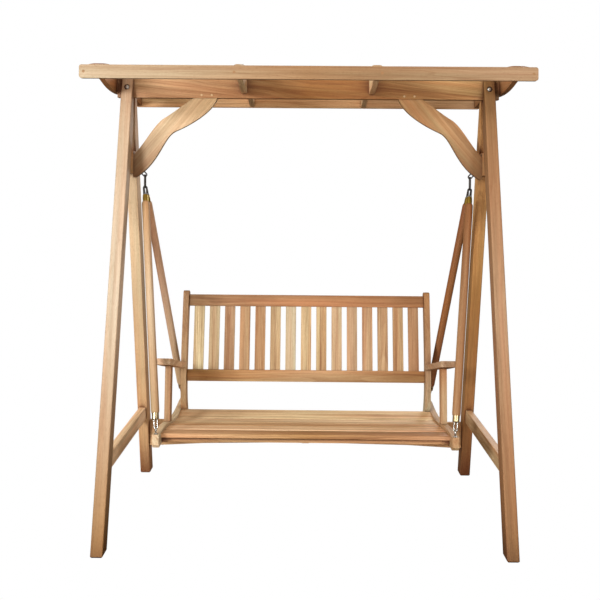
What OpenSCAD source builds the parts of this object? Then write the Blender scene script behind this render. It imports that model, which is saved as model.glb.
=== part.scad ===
// Porch swing: a timber A-frame with a shallow arched slat roof, and a two-seat bench
// that hangs from the frame's knee braces on four turned rods with brass ends.
// Millimetres, +Z up.  The origin is on the floor in the middle of the frame.  The front
// faces -Y; left is -X and right is +X, as seen by someone standing in front of the swing.

/* [A-frame] */
// distance between the centres of the left and right legs
leg_spacing = 1700; // [1640:10:2000]
// width of a leg, seen from the front
leg_w = 52; // [45:1:60]
// depth of a leg, square to its length
leg_d = 77; // [65:1:90]
// distance between the front and rear feet, centre to centre, on the floor
foot_spread = 1050; // [900:10:1250]
// radius of the eased long edges of a leg
leg_ease = 5; // [3:0.5:8]
// chamfer around the sole of a foot
foot_chamfer = 6; // [3:1:10]
// height of the underside of the ridge beam
beam_bottom = 1942; // [1900:1:2050]
// height of the ridge beam itself
beam_h = 93; // [85:1:110]
// thickness of the ridge beam
beam_t = 40; // [36:1:50]
// how far the ridge beam runs on past the outer face of a leg
beam_past = 24; // [15:1:50]
// how far the tops of the legs stop below the top of the beam
leg_top_drop = 3; // [0:1:15]
// height of the underside of a side stretcher
side_low = 306; // [200:1:400]
// height of a side stretcher itself
side_h = 68; // [50:1:90]
// thickness of a side stretcher
side_t = 33; // [24:1:40]
// height of the underside of the rear stretcher at the legs
rear_low = 157; // [120:1:260]
// height of the rear stretcher at the legs
rear_h = 133; // [100:1:150]
// thickness of the rear stretcher
rear_t = 26; // [20:1:30]
// rise of the arch under the rear stretcher
rear_arch = 22; // [0:1:40]
// length of the stub tenons of the stretchers
tenon_len = 24; // [15:1:26]
// how far the underside of the tie between the legs of a side lies below the beam
tie_drop = 357; // [335:1:380]
// height of the tie itself
tie_h = 105; // [80:1:120]
// thickness of the tie
tie_t = 40; // [30:1:46]

/* [Knee braces] */
// how far a brace reaches in along the beam
brace_reach = 396; // [360:1:420]
// how far a brace reaches down the leg
brace_drop = 377; // [360:1:400]
// thickness of a brace
brace_t = 32; // [26:1:38]
// length of the tongue that stands up into the beam
tongue_h = 36; // [25:1:50]
// thickness of that tongue
tongue_t = 14; // [10:1:18]
// diameter of the pegs through beam and tongue
peg_d = 10; // [8:1:12]
// distance between the two pegs of a brace
peg_gap = 48; // [36:1:56]
// height of the pegs above the underside of the beam
peg_up = 14; // [10:1:20]

/* [Roof] */
// how far the crown of the roof stands above the top of the beam
roof_rise = 46; // [40:1:70]
// radius of the roof's arch
roof_radius = 2150; // [1900:10:3000]
// length of a rafter, batten to batten
rafter_span = 1124; // [1060:2:1200]
// thickness of a rafter
rafter_t = 24; // [18:1:28]
// distance between the two middle rafters, centre to centre
rafter_gap = 600; // [400:10:800]
// thickness of a roof batten
batten_t = 22; // [18:1:28]
// height of a roof batten
batten_h = 55; // [45:1:60]
// how far a batten runs past the end rafters
batten_past = 6; // [0:1:40]
// radius of the rounded corners at the ends of a batten
batten_r = 10; // [4:1:20]

/* [Hanging gear] */
// diameter of the steel wire of the eyes, links and bails
wire_d = 6; // [5:0.5:7]
// how far the hanging eye lies in from the inner face of the leg
eye_in = 54; // [48:1:60]
// how far the centre of the hanging eye lies below the beam
eye_drop = 364; // [355:1:370]
// inside radius of the round ends of the hanging eye
eye_r = 4.8; // [4.5:0.1:6]
// straight length between the round ends of the hanging eye
eye_long = 16; // [12:1:20]
// diameter of the threaded shank of an eye
shank_d = 8; // [6:1:10]
// wire centre to wire centre down a hanging link
link_len = 60; // [46:1:70]
// straight length of the ends of a link
link_wide = 16; // [14:1:24]
// clearance between two pieces of wire that ride on each other
ride_gap = 0.3; // [0.2:0.1:0.5]
// diameter of a rod
rod_d = 36; // [30:1:42]
// diameter of an upper ferrule
top_ferrule_d = 26; // [22:1:30]
// length of an upper ferrule, neck included
top_ferrule_len = 34; // [30:1:60]
// diameter of a lower ferrule
low_ferrule_d = 30; // [24:1:32]
// length of a lower ferrule
low_ferrule_len = 28; // [24:1:50]
// wall of a ferrule
ferrule_wall = 1.5; // [1:0.5:2.5]
// clear length of the wire bail at the top of a rod
bail_len = 44; // [34:1:50]
// clear length of the wire bail at the bottom of a rod
low_bail_len = 37; // [34:1:50]
// radius of the ring of a rail eye, to the middle of its wire
ring_rc = 11; // [10:0.5:14]
// inside width of a bail
bail_in = 8; // [7:0.5:10]

/* [Bench] */
// distance between the outer faces of the two side rails
bench_w = 1296; // [1100:2:1400]
// thickness of a side rail
rail_t = 28; // [24:1:34]
// height of a side rail, top edge to bottom edge
rail_h = 57; // [50:1:75]
// where the front ends of the side rails lie
rail_front = -440; // [-460:1:-425]
// how far behind the frame's middle the side rails end
rail_rear = 392; // [380:1:420]
// where the front edge of the seat lies
seat_front = -385; // [-400:1:-370]
// width taken by one seat slat with its gap
seat_pitch = 118; // [112:1:118]
// gap between two seat slats
seat_gap = 6; // [4:1:12]
// thickness of a seat slat
seat_t = 20; // [16:1:24]
// height of the seat's top at its front edge, at each gap and at its rear edge
seat_line = [461, 447, 433, 415, 402, 416];
// height of the curved bearers under the seat at the side rails
cleat_h = 26; // [20:1:30]
// thickness of those bearers
cleat_t = 22; // [16:1:28]
// height of the middle bearer
bearer_h = 24; // [20:1:60]
// thickness of the middle bearer
bearer_t = 30; // [22:1:40]
// thickness of the front apron and of the rear seat rail
apron_t = 24; // [18:1:30]
// how far the front apron stands behind the front edge of the seat
apron_back = 20; // [4:1:40]
// depth of the front apron below the front slat's underside
apron_h = 21; // [16:1:40]
// height of the rear seat rail
seat_rail_h = 34; // [24:1:50]

/* [Back] */
// thickness of a back post
post_t = 27; // [22:1:34]
// depth of a back post, front to rear
post_d = 62; // [50:1:70]
// height of the top and bottom rails of the back
back_rail_h = 57; // [45:1:70]
// thickness of those rails
back_rail_t = 27; // [22:1:32]
// number of slats in the back
slat_count = 15; // [12:3:15]
// width of a back slat
slat_w = 51.5; // [40:0.5:54]
// gap between a back post and the slat next to it
slat_end_gap = 29; // [10:1:40]
// thickness of a back slat
slat_t = 14; // [10:1:18]
// length of the tongues at the ends of a back slat
slat_tongue = 12; // [8:1:20]

/* [Arms] */
// height of the top of an arm at its front end
arm_top = 750; // [700:1:760]
// where the front end of an arm lies
arm_front = -219; // [-240:1:-200]
// slope of an arm, falling to the rear, degrees
arm_slope = 13.8; // [10:0.1:15]
// thickness of an arm
arm_t = 27; // [22:1:32]
// width of an arm at the front
arm_w = 72; // [60:1:90]
// width of an arm where it meets the back post
arm_w_rear = 38; // [32:1:50]
// front edge of an arm post where it stands on the side rail
arm_post_front = -149; // [-170:1:-130]
// depth of an arm post, front to rear
arm_post_d = 60; // [45:1:70]
// how far an arm post leans back over its height
arm_post_lean = 25; // [0:1:40]

/* [Fastenings] */
// diameter of the frame and bench bolts
bolt_d = 10; // [8:1:12]
// diameter of a bolt head or nut
head_d = 20; // [16:1:22]
// height of a bolt head or nut
head_h = 6; // [5:0.5:8]
// clearance around a bolt or peg in its bore, on the diameter
bore_fit = 0.6; // [0.2:0.1:1]
// diameter of a wood screw
screw_d = 5; // [4:0.5:6]
// diameter of a wood plug over a sunk screw
plug_d = 12; // [10:1:14]
// thickness of a wood plug
plug_h = 5; // [3:0.5:7]

/* [Hidden] */
$fn = 48;
fit = 0.2;
inner_x = leg_spacing / 2 - leg_w / 2;
outer_x = leg_spacing / 2 + leg_w / 2;
beam_end = outer_x + beam_past;
beam_top = beam_bottom + beam_h;
roof_top = beam_top + roof_rise;
// the centre line of a leg meets the face of the beam this far above its underside
leg_meet = 8;
leg_slope = (foot_spread - beam_t) / 2 / (beam_bottom + leg_meet);
leg_lean = atan(leg_slope);
leg_dh = leg_d / cos(leg_lean);
leg_top = beam_top - leg_top_drop;
bolt_z = beam_bottom + beam_h / 2;
tie_low = beam_bottom - tie_drop;
bolt_sink = 12;
peg_z = beam_bottom + peg_up;
tenon_edge = 12;
tenon_t = side_t / 2;
rear_y = leg_c(rear_low + rear_h / 2);

// the hanging eye leans at 45 degrees, square to the underside of the brace
eye_lean = 45;
eye_x = inner_x - eye_in;
eye_z = beam_bottom - eye_drop;
eye_rc = eye_r + wire_d / 2;
ride = wire_d + ride_gap;
// the swing turns about the lowest wire of the hanging eye
pivot_z = eye_z - eye_rc;
link_top = pivot_z + ride;
link_low = link_top - link_len;
link_rc = 6;
bail_rc = (bail_in + wire_d) / 2;
bail_y = 5;
bail_top = [eye_x, bail_y, link_low + ride];

rail_in = bench_w / 2 - rail_t;
rail_x = bench_w / 2 - rail_t / 2;
post_in = rail_in - post_t;
notch_gap = 1;
ring_neck = 4;
gear_front = rail_front + 16;
gear_rear = rail_rear - 40;

// heights of the level seats for the rail eyes at the two ends of a side rail
rail_z_front = 470;
rail_z_rear = 430;
rail_dip = 384;
rail_bend_front = -130;
rail_bend_rear = -20;
rail_end_front = 43;
rail_end_rear = 82;
rail_flat_front = rail_front + rail_end_front;
rail_flat_rear = rail_rear - rail_end_rear;

seat_rear = seat_front + 5 * seat_pitch;
apron_y = seat_front + apron_back;
seat_rail_y = seat_rear - seat_gap / 2 - apron_t;

// centre line of a back post, foot to top, in [y, z]
post_a = [250, 372];
post_b = [168, 500];
post_c = [205, 640];
post_e = [281, 985];
cap = 12;
low = bez(post_a, post_b, post_c, post_e, 0.477);
high = bez(post_a, post_b, post_c, post_e, 0.965);
back_lean = atan2(high[0] - low[0], high[1] - low[1]);
back_len = norm(high - low);
slat_pitch = (2 * (post_in - slat_end_gap) - slat_w) / (slat_count - 1);
bolt_post_y = post_a[0] - 4;
bolt_post_z = post_a[1] + 20;

// ---- helpers -------------------------------------------------------------------

// half the distance between the centre lines of the front and rear legs at a height
function leg_c(z) = foot_spread / 2 - leg_slope * z;

// half the clear distance between the front and rear legs at a height
function leg_clear(z) = leg_c(z) - leg_dh / 2;

// point and direction of a cubic curve through a and e, drawn towards b and c
function bez(a, b, c, e, t) =
    pow(1 - t, 3) * a + 3 * t * pow(1 - t, 2) * b + 3 * t * t * (1 - t) * c + pow(t, 3) * e;
function bez_dir(a, b, c, e, t) =
    pow(1 - t, 2) * (b - a) + 2 * t * (1 - t) * (c - b) + t * t * (e - c);
function curve(a, b, c, e, n = 10) = [for (i = [0:n]) bez(a, b, c, e, i / n)];
function square_to(v) = [v[1], -v[0]] / norm(v);

function reversed(list) = [for (i = [len(list) - 1:-1:0]) list[i]];

// a profile drawn in [y, z], extruded along X from x0 to x1
module along_x(x0, x1) {
    translate([x0, 0, 0])
        rotate([90, 0, 90])
            linear_extrude(x1 - x0)
                children();
}

// a profile drawn in [x, z], extruded evenly to both sides of the plane y = 0
module across_y(t) {
    rotate([90, 0, 0])
        linear_extrude(t, center = true)
            children();
}

// stands a child made along +Z on p, pointing at q, with its x axis kept level
module aimed(p, q) {
    v = (q - p) / norm(q - p);
    translate(p)
        rotate([-asin(v[1]), atan2(v[0], v[2]), 0])
            children();
}

module eased(w, d, r) {
    square([w - 2 * r, d], center = true);
    square([w, d - 2 * r], center = true);
    for (sx = [-1, 1], sy = [-1, 1]) {
        translate([sx * (w / 2 - r), sy * (d / 2 - r)])
            circle(r);
    }
}

module mirrored_x() {
    mirror([1, 0, 0])
        children();
}

module mirrored_y() {
    mirror([0, 1, 0])
        children();
}

module both_sides() {
    children();
    mirrored_x()
        children();
}

// part of a ring of wire in the plane of the page, from one angle to another
module wire_arc(r, a0, a1) {
    rotate([0, 0, a0])
        rotate_extrude(angle = a1 - a0)
            translate([r, 0])
                circle(d = wire_d, $fn = 24);
}

module wire_rod(p, q) {
    aimed(p, q)
        cylinder(d = wire_d, h = norm(q - p), $fn = 24);
}

// a U of wire: the middle of its bend lies at the origin and its legs run down
module bail(leg) {
    rotate([90, 0, 0])
        translate([0, -bail_rc, 0])
            wire_arc(bail_rc, 0, 180);
    for (s = [-1, 1]) {
        translate([s * bail_rc, 0, -bail_rc - leg])
            cylinder(d = wire_d, h = leg, $fn = 24);
    }
}

// ---- A-frame -------------------------------------------------------------------

// outline of a rear leg seen from the side: square foot, plumb cut against the beam
module leg_outline() {
    zc = foot_chamfer;
    meet = (foot_spread / 2 - leg_dh / 2 - beam_t / 2) / leg_slope;
    polygon([
        [leg_clear(0) + zc, 0],
        [leg_c(0) + leg_dh / 2 - zc, 0],
        [leg_c(zc) + leg_dh / 2, zc],
        [leg_c(leg_top) + leg_dh / 2, leg_top],
        [beam_t / 2, leg_top],
        [beam_t / 2, meet],
        [leg_clear(zc), zc]]);
}

module side_tenon_outline(grow) {
    z0 = side_low + tenon_edge - grow;
    z1 = side_low + side_h - tenon_edge + grow;
    e = tenon_len + grow;
    polygon([
        [-leg_clear(z0) - e, z0], [leg_clear(z0) + e, z0],
        [leg_clear(z1) + e, z1], [-leg_clear(z1) - e, z1]]);
}

module side_tenon(grow = 0) {
    x = leg_spacing / 2;
    along_x(x - tenon_t / 2 - grow, x + tenon_t / 2 + grow)
        side_tenon_outline(grow);
}

module rear_tenon(grow = 0) {
    z0 = rear_low + tenon_edge - grow;
    z1 = rear_low + rear_h - tenon_edge + grow;
    translate([inner_x - 1, rear_y - rear_t / 4 - grow, z0])
        cube([tenon_len + 1 + grow, rear_t / 2 + 2 * grow, z1 - z0]);
}

// bore along Y for the bolt through both legs and the beam
module leg_bolt_bore() {
    translate([leg_spacing / 2, 0, bolt_z])
        rotate([90, 0, 0])
            cylinder(d = bolt_d + bore_fit, h = 4 * leg_d, center = true);
}

// wider bore that sinks the head or the nut into the sloping face of a leg
bolt_seat = leg_c(bolt_z) + leg_dh / 2 - bolt_sink;
module leg_bolt_sink() {
    translate([leg_spacing / 2, bolt_seat, bolt_z])
        rotate([-90, 0, 0])
            cylinder(d = head_d + 6, h = leg_d);
}

module leg_blank() {
    difference() {
        intersection() {
            along_x(inner_x, outer_x)
                leg_outline();
            translate([leg_spacing / 2, foot_spread / 2, 0])
                rotate([leg_lean, 0, 0])
                    translate([0, 0, -leg_d])
                        linear_extrude(beam_top + 2 * leg_d)
                            eased(leg_w, leg_d, leg_ease);
        }
        foot_side_chamfers();
        side_tenon(fit);
        leg_bolt_bore();
        leg_bolt_sink();
    }
}

// chamfers on the inner and outer edges of a sole; the outline has the other two
module foot_side_chamfers() {
    c = foot_chamfer * sqrt(2);
    for (x = [inner_x, outer_x]) {
        translate([x, leg_c(0), 0])
            rotate([0, 45, 0])
                cube([c, 2 * leg_dh, c], center = true);
    }
}

module rear_leg_shape() {
    difference() {
        leg_blank();
        rear_tenon(fit);
    }
}

module right_front_leg() {
    color("#cfa777")
        mirrored_y()
            leg_blank();
}

module left_front_leg() {
    color("#cfa777")
        mirrored_x()
            mirrored_y()
                leg_blank();
}

module right_rear_leg() {
    color("#c39a68")
        rear_leg_shape();
}

module left_rear_leg() {
    color("#c39a68")
        mirrored_x()
            rear_leg_shape();
}

module side_stretcher_shape() {
    z0 = side_low;
    z1 = side_low + side_h;
    x = leg_spacing / 2;
    along_x(x - side_t / 2, x + side_t / 2)
        polygon([
            [-leg_clear(z0), z0], [leg_clear(z0), z0],
            [leg_clear(z1), z1], [-leg_clear(z1), z1]]);
    side_tenon();
}

module right_side_stretcher() {
    color("#b98f5e")
        side_stretcher_shape();
}

module left_side_stretcher() {
    color("#b98f5e")
        mirrored_x()
            side_stretcher_shape();
}

// a board between the rear legs whose lower edge rises in a flat arch
module rear_stretcher() {
    r = (inner_x * inner_x + rear_arch * rear_arch) / 2 / max(rear_arch, 1);
    color("#b98f5e") {
        translate([0, rear_y, 0])
            across_y(rear_t)
                difference() {
                    translate([-inner_x, rear_low])
                        square([2 * inner_x, rear_h]);
                    translate([0, rear_low + rear_arch - r])
                        circle(r, $fn = 180);
                }
        both_sides()
            rear_tenon();
    }
}

module leg_tie_shape() {
    z0 = tie_low;
    z1 = tie_low + tie_h;
    difference() {
        along_x(inner_x, inner_x + tie_t)
            polygon([
                [-leg_clear(z0), z0], [leg_clear(z0), z0],
                [leg_clear(z1), z1], [-leg_clear(z1), z1]]);
        eye_shank_bore();
    }
}

module right_leg_tie() {
    color("#b98f5e")
        leg_tie_shape();
}

module left_leg_tie() {
    color("#b98f5e")
        mirrored_x()
            leg_tie_shape();
}

module peg_bores() {
    for (s = [-1, 1]) {
        translate([peg_x + s * peg_gap / 2, 0, peg_z])
            rotate([90, 0, 0])
                cylinder(d = peg_d + bore_fit, h = 3 * beam_t, center = true);
    }
}

module ridge_beam() {
    color("#c79e6d")
        difference() {
            translate([-beam_end, -beam_t / 2, beam_bottom])
                cube([2 * beam_end, beam_t, beam_h]);
            both_sides() {
                tongue(fit);
                leg_bolt_bore();
                peg_bores();
            }
            end_screw_bores();
        }
}

// ---- knee braces ---------------------------------------------------------------

// a point of the brace, as shares of its reach along the beam and its drop down the leg
function kp(u, w) = [inner_x - u * brace_reach, beam_bottom - w * brace_drop];

// share of the reach at which the upper edge starts, and of the drop at which it ends
brace_neck = 0.715;
brace_foot = 0.716;
tongue_x0 = kp(1, 0)[0] + tenon_edge;
tongue_x1 = kp(brace_neck, 0)[0] - tenon_edge;
peg_shift = 6;
peg_x = (tongue_x0 + tongue_x1) / 2 - peg_shift;

module brace_outline() {
    polygon(concat(
        curve(kp(brace_neck, 0), kp(0.659, 0.038), kp(0.432, 0.219), kp(0.379, 0.248), 12),
        curve(kp(0.379, 0.248), kp(0.249, 0.318), kp(0.117, 0.619), kp(0, brace_foot), 14),
        [kp(0, 1)],
        curve(kp(0.030, 1), kp(0.313, 0.818), kp(0.351, 0.487), kp(0.500, 0.418), 14),
        curve(kp(0.500, 0.418), kp(0.662, 0.344), kp(0.935, 0.184), kp(1, 0), 14)));
}

module tongue(grow = 0) {
    translate([tongue_x0 - grow, -tongue_t / 2 - grow, beam_bottom - 1])
        cube([tongue_x1 - tongue_x0 + 2 * grow, tongue_t + 2 * grow, tongue_h + 1 + grow]);
}

// places a child made along +Z on the axis of the hanging eye, at the eye's lower end
module on_eye_axis() {
    translate([eye_x, 0, eye_z])
        rotate([0, eye_lean, 0])
            children();
}

eye_far = eye_long + eye_rc + wire_d / 2;
shank_len = 46;

module eye_shank_bore() {
    on_eye_axis()
        cylinder(d = shank_d + fit, h = eye_far + shank_len + 1);
}

module eye_pocket() {
    w = 2 * eye_rc + wire_d + 2;
    on_eye_axis()
        translate([-w / 2, -wire_d / 2 - 1, 0])
            cube([w, wire_d + 2, eye_far + 0.5]);
}

module brace_shape() {
    difference() {
        union() {
            across_y(brace_t)
                brace_outline();
            tongue();
        }
        peg_bores();
        eye_pocket();
        eye_shank_bore();
    }
}

module right_knee_brace() {
    color("#b5824f")
        brace_shape();
}

module left_knee_brace() {
    color("#b5824f")
        mirrored_x()
            brace_shape();
}

module brace_pegs() {
    color("#7d5734")
        both_sides()
            for (s = [-1, 1]) {
                translate([peg_x + s * peg_gap / 2, 0, peg_z])
                    rotate([90, 0, 0])
                        cylinder(d = peg_d, h = beam_t, center = true);
            }
}

// ---- roof ----------------------------------------------------------------------

// one half of a rafter's lower edge, from the batten in to the middle
rafter_half = rafter_span / 2;
belly_up = 22;
tip_up = 20;
belly = beam_bottom + belly_up;
rafter_tip = beam_bottom + tip_up;
notch_up = 58;
notch = beam_bottom + notch_up;
notch_y = 320;
notch_round = 60;
belly_round = 190;

function rafter_edge() = concat(
    curve([rafter_half, rafter_tip], [rafter_half - 1.5 * notch_round, rafter_tip + tip_up / 5],
        [notch_y + notch_round, notch], [notch_y, notch]),
    curve([notch_y, notch], [notch_y - notch_round, notch], [belly_round, belly], [0, belly]));

module rafter_outline() {
    right_edge = rafter_edge();
    left_edge = [for (p = reversed(right_edge)) if (p[0] > 0) [-p[0], p[1]]];
    intersection() {
        polygon(concat([[rafter_half, roof_top + 1]], right_edge, left_edge,
            [[-rafter_half, roof_top + 1]]));
        translate([0, roof_top - roof_radius])
            circle(roof_radius, $fn = 360);
    }
}

module middle_rafter_shape() {
    difference() {
        along_x(rafter_gap / 2 - rafter_t / 2, rafter_gap / 2 + rafter_t / 2)
            rafter_outline();
        translate([0, -beam_t / 2, 0])
            cube([rafter_gap, beam_t, beam_top]);
        batten_screw_bores(rafter_gap / 2);
    }
}

module end_rafter_shape() {
    difference() {
        along_x(beam_end, beam_end + rafter_t)
            rafter_outline();
        batten_screw_bores(beam_end + rafter_t / 2);
        end_screw_bores();
    }
}

module right_middle_rafter() {
    color("#c39a68")
        middle_rafter_shape();
}

module left_middle_rafter() {
    color("#c39a68")
        mirrored_x()
            middle_rafter_shape();
}

module right_end_rafter() {
    color("#b07c4c")
        end_rafter_shape();
}

module left_end_rafter() {
    color("#b07c4c")
        mirrored_x()
            end_rafter_shape();
}

batten_up = 15;
batten_z = beam_bottom + batten_up;
end_screw_gap = 18;
batten_half = beam_end + rafter_t + batten_past;
roof_screw_z = batten_z + batten_h / 2;
roof_screw_len = 45;

// each batten is held to each rafter by one sunk screw under a plug
module batten_screw_bores(x) {
    for (s = [-1, 1]) {
        translate([x, s * (rafter_half + batten_t), roof_screw_z])
            rotate([s * 90, 0, 0])
                screw_bore();
    }
}

// a screw runs along +Z: its plug first, then its head, then its shank
module screw_bore() {
    translate([0, 0, -1])
        cylinder(d = plug_d, h = plug_h + 1);
    cylinder(d = screw_d * 2 + fit, h = plug_h + screw_d / 2 + fit);
    cylinder(d = screw_d + fit, h = plug_h + roof_screw_len + fit);
}

module screw() {
    translate([0, 0, plug_h])
        cylinder(d1 = screw_d * 2, d2 = screw_d, h = screw_d / 2);
    translate([0, 0, plug_h])
        cylinder(d = screw_d, h = roof_screw_len);
}

module batten_shape() {
    difference() {
        translate([0, rafter_half + batten_t / 2, batten_z + batten_h / 2])
            across_y(batten_t)
                eased(2 * batten_half, batten_h, batten_r);
        both_sides() {
            batten_screw_bores(rafter_gap / 2);
            batten_screw_bores(beam_end + rafter_t / 2);
        }
    }
}

module rear_roof_batten() {
    color("#d3ad7d")
        batten_shape();
}

module front_roof_batten() {
    color("#d3ad7d")
        mirrored_y()
            batten_shape();
}

module at_roof_screws() {
    both_sides() {
        for (x = [rafter_gap / 2, beam_end + rafter_t / 2], s = [-1, 1]) {
            translate([x, s * (rafter_half + batten_t), roof_screw_z])
                rotate([s * 90, 0, 0])
                    children();
        }
        for (dz = [-end_screw_gap, end_screw_gap]) {
            translate([beam_end + rafter_t, 0, bolt_z + dz])
                rotate([0, -90, 0])
                    children();
        }
    }
}

module end_screw_bores() {
    both_sides()
        for (dz = [-end_screw_gap, end_screw_gap]) {
            translate([beam_end + rafter_t, 0, bolt_z + dz])
                rotate([0, -90, 0])
                    screw_bore();
        }
}

module roof_screws() {
    color("#9a9a98")
        at_roof_screws()
            screw();
}

module roof_plugs() {
    color("#a97f52")
        at_roof_screws()
            cylinder(d = plug_d, h = plug_h);
}

// ---- frame bolts ---------------------------------------------------------------

// a domed bolt head standing on its seat at the origin
module dome_head() {
    intersection() {
        cylinder(d = head_d, h = head_h);
        translate([0, 0, head_h - head_d])
            sphere(head_d);
    }
}

module hex_nut() {
    cylinder(d = head_d, h = head_h, $fn = 6);
}

module leg_bolts() {
    color("#b4b4b0")
        both_sides()
            translate([leg_spacing / 2, 0, bolt_z]) {
                rotate([90, 0, 0])
                    cylinder(d = bolt_d, h = 2 * bolt_seat, center = true);
                translate([0, -bolt_seat, 0])
                    rotate([90, 0, 0])
                        dome_head();
                translate([0, bolt_seat, 0])
                    rotate([-90, 0, 0])
                        hex_nut();
            }
}

// ---- hanging gear --------------------------------------------------------------

module hanging_eye_shape() {
    on_eye_axis() {
        rotate([90, 0, 0]) {
            wire_arc(eye_rc, 180, 360);
            translate([0, eye_long, 0])
                wire_arc(eye_rc, 0, 180);
        }
        for (s = [-1, 1]) {
            translate([s * eye_rc, 0, 0])
                cylinder(d = wire_d, h = eye_long, $fn = 24);
        }
        translate([0, 0, eye_long + eye_rc])
            cylinder(d = shank_d, h = shank_len);
    }
}

module right_hanging_eye() {
    color("#4a4a4c")
        hanging_eye_shape();
}

module left_hanging_eye() {
    color("#4a4a4c")
        mirrored_x()
            hanging_eye_shape();
}

// an oblong link in the plane across the swing, wide enough for two bails side by side
module link_shape() {
    half = link_wide / 2;
    tall = link_len - 2 * link_rc;
    translate([eye_x, 0, link_low + link_rc])
        rotate([90, 0, 90])
            for (turn = [0, 180]) {
                translate([0, tall / 2])
                    rotate(turn)
                        translate([0, tall / 2]) {
                            translate([half, 0])
                                wire_arc(link_rc, 0, 90);
                            translate([-half, 0])
                                wire_arc(link_rc, 90, 180);
                            translate([0, link_rc])
                                rotate([0, 90, 0])
                                    cylinder(d = wire_d, h = link_wide, center = true,
                                        $fn = 24);
                            translate([half + link_rc, -tall])
                                rotate([-90, 0, 0])
                                    cylinder(d = wire_d, h = tall, $fn = 24);
                        }
            }
}

module right_link() {
    color("#4a4a4c")
        link_shape();
}

module left_link() {
    color("#4a4a4c")
        mirrored_x()
            link_shape();
}

// height of the top edge of a side rail at the two rods
function rail_eye_z(y) = rail_top(y) + ring_neck + ring_rc + wire_d / 2;

// the lower wire of a rod rides inside the rail eye, just under its top wire
function rod_foot(y) = [rail_x, y, rail_eye_z(y) + ring_rc - ride];
front_foot = rod_foot(gear_front);
rear_foot = rod_foot(gear_rear);
front_head = [bail_top[0], -bail_y, bail_top[2]];
rear_head = bail_top;

// places a child on the line of one rod, whose length it gets as $rod
module on_front_rod() {
    $rod = norm(front_head - front_foot);
    aimed(front_foot, front_head)
        children();
}

module on_rear_rod() {
    $rod = norm(rear_head - rear_foot);
    aimed(rear_foot, rear_head)
        children();
}

module on_all_rods() {
    both_sides() {
        on_front_rod()
            children();
        on_rear_rod()
            children();
    }
}

neck_len = 14;
neck_d = 2 * bail_rc + wire_d + 4;
grip = 12;
shoulder = 14;

// a turned rod with a tenon into the ferrule at each end
module rod_shape() {
    z0 = low_bail_len + 3;
    z1 = low_bail_len + low_ferrule_len;
    z2 = $rod - bail_len - top_ferrule_len;
    z3 = $rod - bail_len - neck_len - grip / 2;
    r = rod_d / 2;
    r_low = low_ferrule_d / 2;
    r_top = top_ferrule_d / 2;
    rotate_extrude()
        polygon(concat(
            [[0, z0 + grip], [r_low - ferrule_wall, z0 + grip],
                [r_low - ferrule_wall, z1], [r_low, z1]],
            [for (a = [0:15:90])
                [r_low + (r - r_low) * sin(a), z1 + shoulder * (1 - cos(a))]],
            [for (a = [90:-15:0])
                [r_top + (r - r_top) * sin(a), z2 - shoulder * (1 - cos(a))]],
            [[r_top - ferrule_wall, z2], [r_top - ferrule_wall, z3], [0, z3]]));
}

module right_front_rod() {
    color("#bd8a56")
        on_front_rod()
            rod_shape();
}

module left_front_rod() {
    color("#bd8a56")
        mirrored_x()
            on_front_rod()
                rod_shape();
}

module right_rear_rod() {
    color("#bd8a56")
        on_rear_rod()
            rod_shape();
}

module left_rear_rod() {
    color("#bd8a56")
        mirrored_x()
            on_rear_rod()
                rod_shape();
}

module bail_bores(leg) {
    for (s = [-1, 1]) {
        translate([s * bail_rc, 0, -1])
            cylinder(d = wire_d, h = leg + 1, $fn = 24);
    }
}

// brass cap over the top of a rod: a neck that holds the bail, then a cup
module upper_ferrules() {
    r = top_ferrule_d / 2;
    z0 = bail_len + top_ferrule_len;
    color("#b08d3c")
        on_all_rods()
            translate([0, 0, $rod])
                difference() {
                    rotate_extrude()
                        polygon([
                            [0, -bail_len - neck_len - grip / 2],
                            [r - ferrule_wall, -bail_len - neck_len - grip / 2],
                            [r - ferrule_wall, -z0], [r, -z0],
                            [r, -bail_len - neck_len], [neck_d / 2, -bail_len - neck_len / 2],
                            [neck_d / 2, -bail_len - 1], [neck_d / 2 - 1, -bail_len],
                            [0, -bail_len]]);
                    rotate([180, 0, 0])
                        translate([0, 0, bail_len])
                            bail_bores(grip);
                }
}

module lower_ferrules() {
    r = low_ferrule_d / 2;
    z0 = low_bail_len + 3;
    color("#c9a64a")
        on_all_rods()
            difference() {
                rotate_extrude()
                    polygon([
                        [0, low_bail_len], [r - 3, low_bail_len], [r, z0],
                        [r, low_bail_len + low_ferrule_len],
                        [r - ferrule_wall, low_bail_len + low_ferrule_len],
                        [r - ferrule_wall, z0 + grip], [0, z0 + grip]]);
                translate([0, 0, low_bail_len])
                    bail_bores(grip);
            }
}

module upper_bails() {
    color("#4a4a4c")
        on_all_rods()
            translate([0, 0, $rod])
                bail(bail_len + grip - bail_rc);
}

module lower_bails() {
    color("#c4c6c8")
        on_all_rods()
            mirror([0, 0, 1])
                bail(low_bail_len + grip - bail_rc);
}

rail_eye_shank = 40;

// a ring of wire on a collar and shank, screwed down into the side rail
module rail_eye() {
    rotate([90, 0, 90])
        wire_arc(ring_rc, 0, 360);
    translate([0, 0, -ring_rc - wire_d / 2 - ring_neck])
        cylinder(d = shank_d + 8, h = 2);
    translate([0, 0, -ring_rc - wire_d / 2 - ring_neck - rail_eye_shank])
        cylinder(d = shank_d, h = rail_eye_shank + ring_neck + wire_d / 2);
}

module at_rail_eyes() {
    for (y = [gear_front, gear_rear]) {
        translate([rail_x, y, rail_eye_z(y)])
            children();
    }
}

module rail_eyes() {
    color("#c4c6c8")
        both_sides()
            at_rail_eyes()
                rail_eye();
}

// ---- bench ---------------------------------------------------------------------

function rail_top(y) = y < 0 ? rail_z_front : rail_z_rear;

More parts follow.
